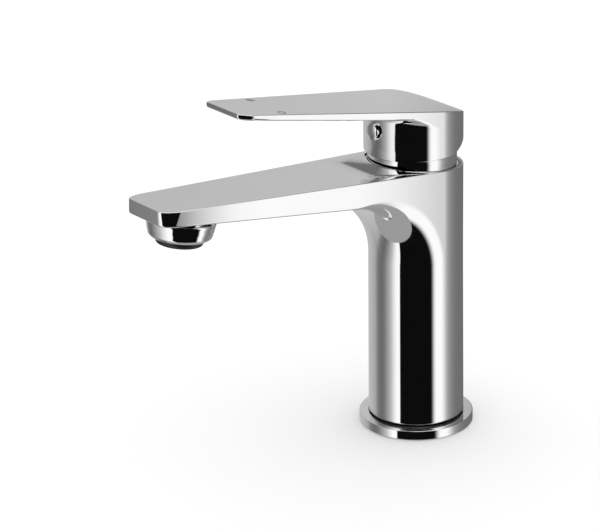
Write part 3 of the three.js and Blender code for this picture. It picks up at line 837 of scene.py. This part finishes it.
collar_low, collar_seat, collar_top = -8.7, -0.5, 1.8
collar_inner, collar_neck = 10.9, 11.7
turned_piece("outlet_collar", [
    (11.3, collar_low, 0.2), (13.1, collar_low, 0.5), (14.3, -7.4, 1.5), (15.0, -4.5, 6), (15.6, -1.3, 1.2),
    (15.2, collar_seat, 0.4), (collar_neck, collar_seat, 0), (collar_neck, collar_top, 0),
    (collar_inner, collar_top, 0), (collar_inner, -7.6, 0)],
    aerator_frame, chrome, "root", "chrome", "aerator_collar")


def aerator_insert():
    """A black cup that hangs a little below the collar, with a honeycomb of blind holes in its floor."""
    radius, rounding, floor_z, top_z, sides = 10.7, 1.7, -11.9, -4, 96
    hole_radius, hole_depth, hole_sides, pitch = 1.25, 3, 6, 3.3
    longest_row, rounding_steps = 5, 6

    skin = Skin()
    facing = (aerator_frame.to_3x3() @ DOWN).normalized()
    rim = circle(aerator_frame, radius, top_z, sides)
    rounds = []
    for i in range(rounding_steps + 1):
        turn = math.pi / 2 * i / rounding_steps
        inset, lift = rounding * (1 - math.sin(turn)), rounding * (1 - math.cos(turn))
        rounds.append(circle(aerator_frame, radius - inset, floor_z + lift, sides))
    skin.funnel(rounds + [rim])
    skin.plate([rim], -facing)
    openings = []
    for row in range(-(longest_row // 2), longest_row // 2 + 1):
        count = longest_row - abs(row)
        for i in range(count):
            x, y = (i - (count - 1) / 2) * pitch, row * pitch * math.sin(math.pi / 3)
            mouth, end = (circle(aerator_frame, hole_radius, floor_z + depth, hole_sides, x, y)
                          for depth in (0, hole_depth))
            openings.append(mouth)
            skin.funnel([mouth, end])
            skin.plate([end], facing)
    skin.plate([rounds[0]] + openings, facing)
    return skin


aerator_insert().build("outlet_insert", black_plastic, "root", "black_plastic", "aerator_insert")

plug_frame = (Matrix.Translation((0, HUB_NOSE_Y - HUB_NOSE_RADIUS - PLUG_PROUD, SCREW_Z))
              @ Matrix.Rotation(-math.pi / 2, 4, "X"))
plug_shoulder, plug_end, plug_shank = 3.4, 6, 2.4
turned_piece("hub_plug", [
    (AXIS_RADIUS, 0, 0), (1.8, 0.1, 6), (3.4, 0.5, 3), (4.3, 1.1, 0.5), (4.4, plug_shoulder, 0),
    (plug_shank, plug_shoulder, 0), (plug_shank, plug_end, 0), (AXIS_RADIUS, plug_end, 0)],
    plug_frame, chrome, "lever", "chrome", "screw_plug", 64)


def mark_frame(x):
    return (Matrix.Translation((x, MARK_Y, lever_top(MARK_Y)))
            @ Matrix.Rotation(-math.atan(LEVER_TOP_RISE), 4, "X"))


# a filled dot for hot and an open ring for cold
for name, x, inner, inner_round, replaced in (
        ("mark_hot", -MARK_X, AXIS_RADIUS, 0, "hot_mark"),
        ("mark_cold", MARK_X, MARK_HOLE_RADIUS, MARK_ROUND, "cold_mark")):
    turned_piece(name, [
        (inner, -MARK_SUNK, 0), (MARK_RADIUS, -MARK_SUNK, 0), (MARK_RADIUS, MARK_PROUD, MARK_ROUND),
        (inner, MARK_PROUD, inner_round)],
        mark_frame(x), mark_enamel, "lever", "dark_plastic", replaced, 48)


# ---------------------------------------------------------------- floor, light and camera
FLOOR_GREY = 0.9
FLOOR_HALF = 8
TENT_GROUND = 0.36
TENT_SIDES = 180
WORLD_STRENGTH = 1.2
CAMERA_AZIMUTH = math.radians(50)


def stage_mesh(name, points, faces, material):
    mesh = bpy.data.meshes.new(name)
    mesh.from_pydata(points, [], faces)
    mesh.materials.append(material)
    stage_object = bpy.data.objects.new(name, mesh)
    bpy.context.scene.collection.objects.link(stage_object)
    return stage_object


floor_material, nodes, links = new_material("studio_floor")
diffuse = nodes.new("ShaderNodeBsdfDiffuse")
diffuse.inputs["Color"].default_value = (*grey(FLOOR_GREY), 1)
links.new(diffuse.outputs["BSDF"], nodes.new("ShaderNodeOutputMaterial").inputs["Surface"])
floor_corners = [(x * FLOOR_HALF, y * FLOOR_HALF, 0) for x, y in ((-1, -1), (1, -1), (1, 1), (-1, 1))]
floor = stage_mesh("studio_floor", floor_corners, [(0, 1, 2, 3)], floor_material)
floor.visible_glossy = False

# A round tent of light that only mirrors see. Each stop is an angle round it in degrees, from the camera's
# side, and the linear brightness there.
TENT_STOPS = (
    (-180, 0.57), (-130, 0.50), (-112, 0.40), (-102, 0.21), (-87, 0.15), (-77, 0.23), (-68, 0.38),
    (-60, 0.55), (-52, 0.87), (-45, 1.08), (-38, 1.08), (-37, 0.004), (36, 0.004), (38, 0.12), (40, 0.32),
    (43, 0.69), (47, 1.03), (51, 1.08), (62, 1.08), (66, 0.97), (70, 0.79), (75, 0.57), (81, 0.38),
    (91, 0.27), (101, 0.21), (115, 0.18), (162, 0.16), (174, 0.50), (180, 0.57))
TENT_RADIUS, TENT_LOW, TENT_HIGH = 0.27, -0.25, 0.6        # metres
tent_material, nodes, links = new_material("studio_tent")
position = nodes.new("ShaderNodeTexCoord")
split = nodes.new("ShaderNodeSeparateXYZ")
links.new(position.outputs["Object"], split.inputs["Vector"])
front = nodes.new("ShaderNodeMath")
front.operation = "MULTIPLY"
front.inputs[1].default_value = -1
links.new(split.outputs["Y"], front.inputs[0])
angle = nodes.new("ShaderNodeMath")
angle.operation = "ARCTAN2"
links.new(split.outputs["X"], angle.inputs[0])
links.new(front.outputs["Value"], angle.inputs[1])
turn_share = nodes.new("ShaderNodeMapRange")
turn_share.inputs["From Min"].default_value = -math.pi
turn_share.inputs["From Max"].default_value = math.pi
links.new(angle.outputs["Value"], turn_share.inputs["Value"])
ramp = nodes.new("ShaderNodeValToRGB")
stops = ramp.color_ramp.elements
while len(stops) < len(TENT_STOPS):
    stops.new(0.5)
for stop, (degrees, brightness) in zip(stops, TENT_STOPS):
    stop.position = (degrees + 180) / 360
    stop.color = (brightness, brightness, brightness, 1)
links.new(turn_share.outputs["Result"], ramp.inputs["Fac"])
glow = nodes.new("ShaderNodeEmission")
links.new(ramp.outputs["Color"], glow.inputs["Color"])
links.new(glow.outputs["Emission"], nodes.new("ShaderNodeOutputMaterial").inputs["Surface"])


def glossy_only(stage_object):
    for kind in ("camera", "diffuse", "shadow", "transmission", "volume_scatter"):
        setattr(stage_object, f"visible_{kind}", False)


low_ring, high_ring = (circle(Matrix.Identity(4), TENT_RADIUS, z, TENT_SIDES) for z in (TENT_LOW, TENT_HIGH))
tent_faces = []
for side in range(TENT_SIDES):
    following = (side + 1) % TENT_SIDES
    tent_faces.append((side, following, following + TENT_SIDES, side + TENT_SIDES))
tent = stage_mesh("studio_tent", low_ring + high_ring, tent_faces, tent_material)
tent.rotation_euler = (0, 0, CAMERA_AZIMUTH)
glossy_only(tent)

ground_material, nodes, links = new_material("studio_tent_ground")
ground_glow = nodes.new("ShaderNodeEmission")
ground_glow.inputs["Color"].default_value = (*grey(TENT_GROUND), 1)
links.new(ground_glow.outputs["Emission"], nodes.new("ShaderNodeOutputMaterial").inputs["Surface"])
ground = stage_mesh("studio_tent_ground", low_ring, [tuple(range(TENT_SIDES))], ground_material)
glossy_only(ground)

world = bpy.data.worlds.new("studio_light")
world.use_nodes = True
background = world.node_tree.nodes["Background"]
background.inputs["Color"].default_value = (1, 1, 1, 1)
background.inputs["Strength"].default_value = WORLD_STRENGTH
bpy.context.scene.world = world
bpy.context.scene.view_settings.view_transform = "Standard"

CAMERA_PLACE = Vector((0.99586, -0.83562, 0.58831))
CAMERA_TURN = math.radians(2.380)           # to the left of straight at the column's axis
CAMERA_DOWN = math.radians(21.434)
CAMERA_ROLL = math.radians(-1.021)
CAMERA_LENS = 179.42
heading = math.pi / 2 + CAMERA_AZIMUTH + CAMERA_TURN
level = Vector((math.cos(heading), math.sin(heading), 0))
looking = level * math.cos(CAMERA_DOWN) + DOWN * math.sin(CAMERA_DOWN)
rightward = level.cross(Vector((0, 0, 1)))
upward = rightward.cross(looking)
right_rolled = rightward * math.cos(CAMERA_ROLL) + upward * math.sin(CAMERA_ROLL)
up_rolled = upward * math.cos(CAMERA_ROLL) - rightward * math.sin(CAMERA_ROLL)
camera_data = bpy.data.cameras.new("camera")
camera_data.lens = CAMERA_LENS
camera_data.sensor_width = 36
camera_data.sensor_fit = "HORIZONTAL"
camera = bpy.data.objects.new("camera", camera_data)
camera.matrix_world = Matrix.Translation(CAMERA_PLACE) @ Matrix(
    (right_rolled, up_rolled, -looking)).transposed().to_4x4()
bpy.context.scene.collection.objects.link(camera)
bpy.context.scene.camera = camera
